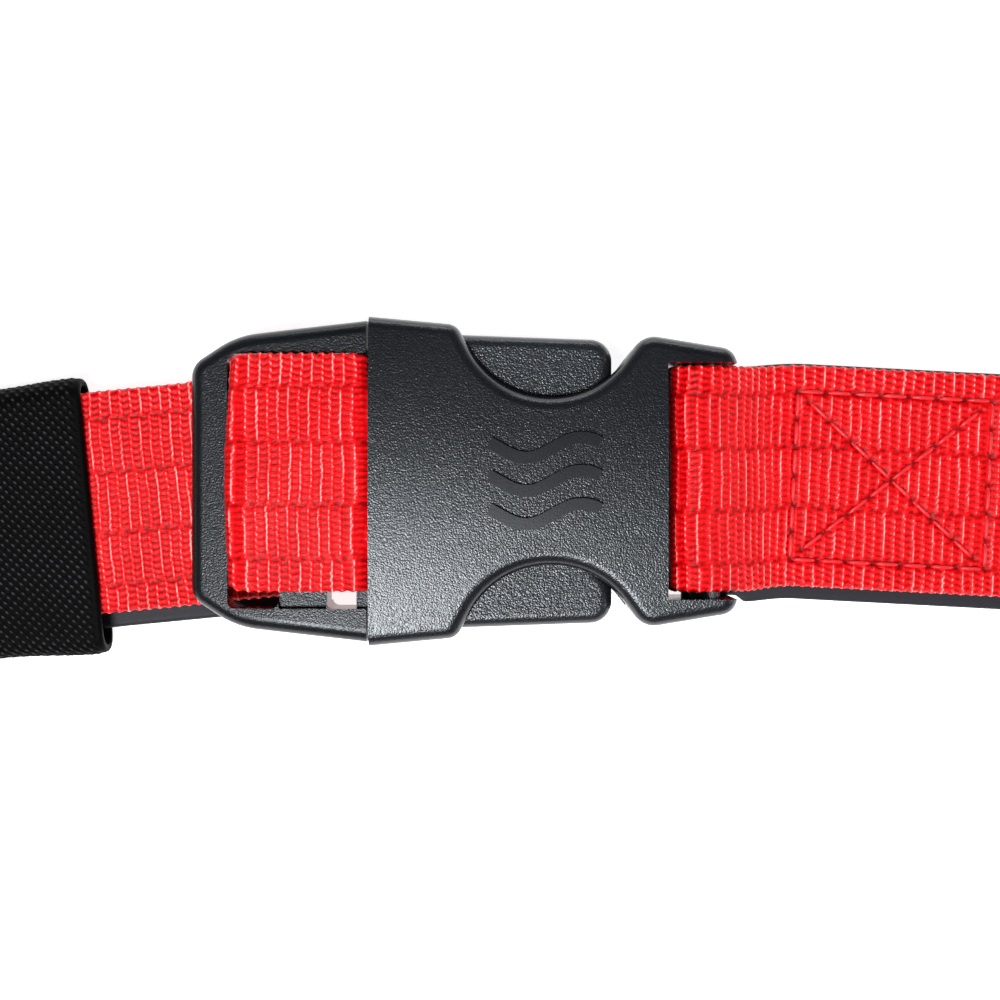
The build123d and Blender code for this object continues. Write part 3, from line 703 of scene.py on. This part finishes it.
def sleeve_section(share, inset):
    """A flattened tube with flat faces and round sides. share runs from 0 to 1 around it."""
    half_wide, half_tall = sleeve_width / 2 - inset, sleeve_height / 2 - inset
    radius = 0.85 * half_tall
    quarter = np.linspace(0, np.pi / 2, 24)
    corners = []
    for k, (side, level) in enumerate(((1, 1), (-1, 1), (-1, -1), (1, -1))):
        turn = quarter + k * np.pi / 2
        corners.append(np.stack([side * (half_wide - radius) + radius * np.cos(turn),
                                 level * (half_tall - radius) + radius * np.sin(turn)], axis=-1))
    outline = np.concatenate(corners + [corners[0][:1]])
    run = np.concatenate([[0], np.cumsum(np.hypot(*np.diff(outline, axis=0).T))])
    return np.interp(share * run[-1], run, outline[:, 0]), np.interp(share * run[-1], run, outline[:, 1]), run[-1]


def make_sleeve():
    """The sleeve's outer and inner skin as one closed tube, and its girth in mm."""
    columns, rows, inner_rows = 420, 150, 24
    share = np.linspace(0, 1, columns, endpoint=False)
    full_girth = sleeve_section(share, 0)[2]
    girth = share * full_girth
    heading = math.radians(adjuster_slope)
    shells = []
    lifts = []
    half_sleeve = sleeve_length / 2
    for inset, stations in ((0.0, np.linspace(-half_sleeve, half_sleeve, rows)),
                            (sleeve_wall, np.linspace(half_sleeve, -half_sleeve, inner_rows))):
        wide, tall = sleeve_section(share, inset)[:2]
        a = stations[:, None]
        from_end = half_sleeve - np.abs(a)
        diagonal = (a + girth[None, :]) / weave_pitch
        counter = (a - girth[None, :]) / weave_pitch
        # The height share computed here also colours the sleeve: painted highlight on the dashes, and painted shade
        # between them and at the folded ends, where it fades to zero.
        strands = np.abs(np.sin(np.pi * counter)) ** 1.2
        rise = strands * (0.35 + 0.65 * np.abs(np.sin(np.pi * diagonal * dash_share)) ** 0.8)
        rise = rise * step(from_end, 0.6, 1.1)
        fold = np.sqrt(np.clip(1 - np.clip(1 - from_end / fold_length, 0, 1) ** 2, 0, 1))
        grow = (weave_height * rise + fold_depth * (fold - 1)) * (1 if inset == 0 else 0)
        flare = 1 - flare_share * step(-a, 1 - half_sleeve, 11 - half_sleeve)
        scale_w, scale_t = flare + grow / (sleeve_width / 2), 1 + grow / (sleeve_height / 2)
        w, h = wide[None, :] * scale_w, tall[None, :] * scale_t
        x = sleeve_middle.x + a * math.cos(heading) - w * math.sin(heading)
        y = sleeve_middle.y + a * math.sin(heading) + w * math.cos(heading)
        shells.append(np.stack([x + 0 * h, y, sleeve_middle.z + h + 0 * a], axis=-1))
        lifts.append(rise)
    points = np.concatenate(shells, axis=0)
    total = points.shape[0]
    r, c = np.meshgrid(np.arange(total), np.arange(columns), indexing="ij")
    here, after, beside = r * columns, (r + 1) % total * columns, (c + 1) % columns
    faces = np.stack([here + c, here + beside, after + beside, after + c], axis=-1)
    return mesh_object("strap_sleeve_cloth", points.reshape(-1, 3), faces.reshape(-1, 4).tolist(),
                       np.concatenate(lifts, axis=0).ravel(), points.reshape(-1, 3), black_weave), full_girth


sleeve, sleeve_girth = make_sleeve()
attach(sleeve, "sleeve")
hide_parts("strap_sleeve")
print("sleeve girth", round(float(sleeve_girth), 1), "mm,", len(sleeve.data.polygons), "faces")

# %% [markdown]
# ## Thread
#
# Every stitch is a short length of thread that comes up through the cloth, lies along it and goes down again. It
# is a small tube with a low arch, so its ends sink into the webbing.


# %% Stitches
rings, sides = 9, 8
thread_radius = 0.22
half_stitch = 0.41
arch_height, stitch_sink = 0.24, 0.26


def stitch_row(middle, heading, level, side, lines, finish, name, body, node):
    """A seam: each stitch is an arched tube along its line, on the cloth's face at level, in millimetres."""
    points = []
    faces = []
    turn = math.radians(heading)
    for (ax, ay), (bx, by) in lines:
        run = math.hypot(bx - ax, by - ay)
        count = round(run / stitch_pitch)
        ux, uy = (bx - ax) / run, (by - ay) / run
        for i in range(count):
            first = len(points)
            for ring in range(rings):
                share = ring / (rings - 1) * 2 - 1
                place = (i + 0.5 + share * half_stitch) * run / count
                arch = arch_height * (1 - share**4) - stitch_sink
                thin = thread_radius * (1 - 0.55 * abs(share) ** 6)
                for k in range(sides):
                    a = 2 * math.pi * k / sides
                    off = thin * math.cos(a)
                    lx, ly = ax + ux * place - uy * off, ay + uy * place + ux * off
                    wx = middle[0] + lx * math.cos(turn) - ly * math.sin(turn)
                    wy = middle[1] + lx * math.sin(turn) + ly * math.cos(turn)
                    points.append((wx, wy, level + side * (arch + thin * 0.8 * math.sin(a))))
            for ring in range(rings - 1):
                for k in range(sides):
                    a, b = first + ring * sides + k, first + ring * sides + (k + 1) % sides
                    faces.append([a, b, b + sides, a + sides])
            faces.append([first + k for k in range(sides)])
            faces.append([first + (rings - 1) * sides + k for k in range(sides)])
    piece = mesh_object(name, points, faces, [0.6] * len(points), points, finish)
    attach(piece, body)
    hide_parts(node)


half_row, half_row_gap = 10.0, 0.9
half_seam = 13.5
end_lines = [((x, -half_row), (x, half_row)) for x in (-half_row_gap, half_row_gap)]
sleeve_seam = [((-half_seam, 0.0), (half_seam, 0.0))]
for node, heading, side, lines, finish, body, slot in (
    ("box_stitch_needle_thread", -fixed_slope, 1, seam_lines, red_thread, "fixed_strap", "red_thread"),
    ("box_stitch_bobbin_thread", -fixed_slope, -1, seam_lines, red_thread, "fixed_strap", "red_thread"),
    ("fixed_end_needle_thread", -fixed_slope, 1, end_lines, red_thread, "fixed_strap", "red_thread"),
    ("fixed_end_bobbin_thread", -fixed_slope, -1, end_lines, red_thread, "fixed_strap", "red_thread"),
    ("adjuster_end_needle_thread", adjuster_slope, 1, end_lines, red_thread, "adjuster_strap", "red_thread"),
    ("adjuster_end_bobbin_thread", adjuster_slope, -1, end_lines, red_thread, "adjuster_strap", "red_thread"),
    ("sleeve_seam_thread", adjuster_slope, -1, sleeve_seam, black_thread, "sleeve", "black_thread"),
):
    low, high = (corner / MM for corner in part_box(node))
    middle = ((low.x + high.x) / 2, (low.y + high.y) / 2)
    level = low.z if side == 1 else high.z
    stitch_row(middle, heading, level, side, lines, finish, node.replace("_thread", ""), body, node)

# %% [markdown]
# ## Table finish
#
# The table is a plain pale surface.

# %% Table finish
table_finish = Finish("table_white")
table_finish.set(Base_Color=(0.90, 0.90, 0.90, 1), Roughness=0.8, Specular_IOR_Level=0.1,
                 Emission_Color=(1, 1, 1, 1), Emission_Strength=0.85)
table_mesh.materials.append(table_finish.material)
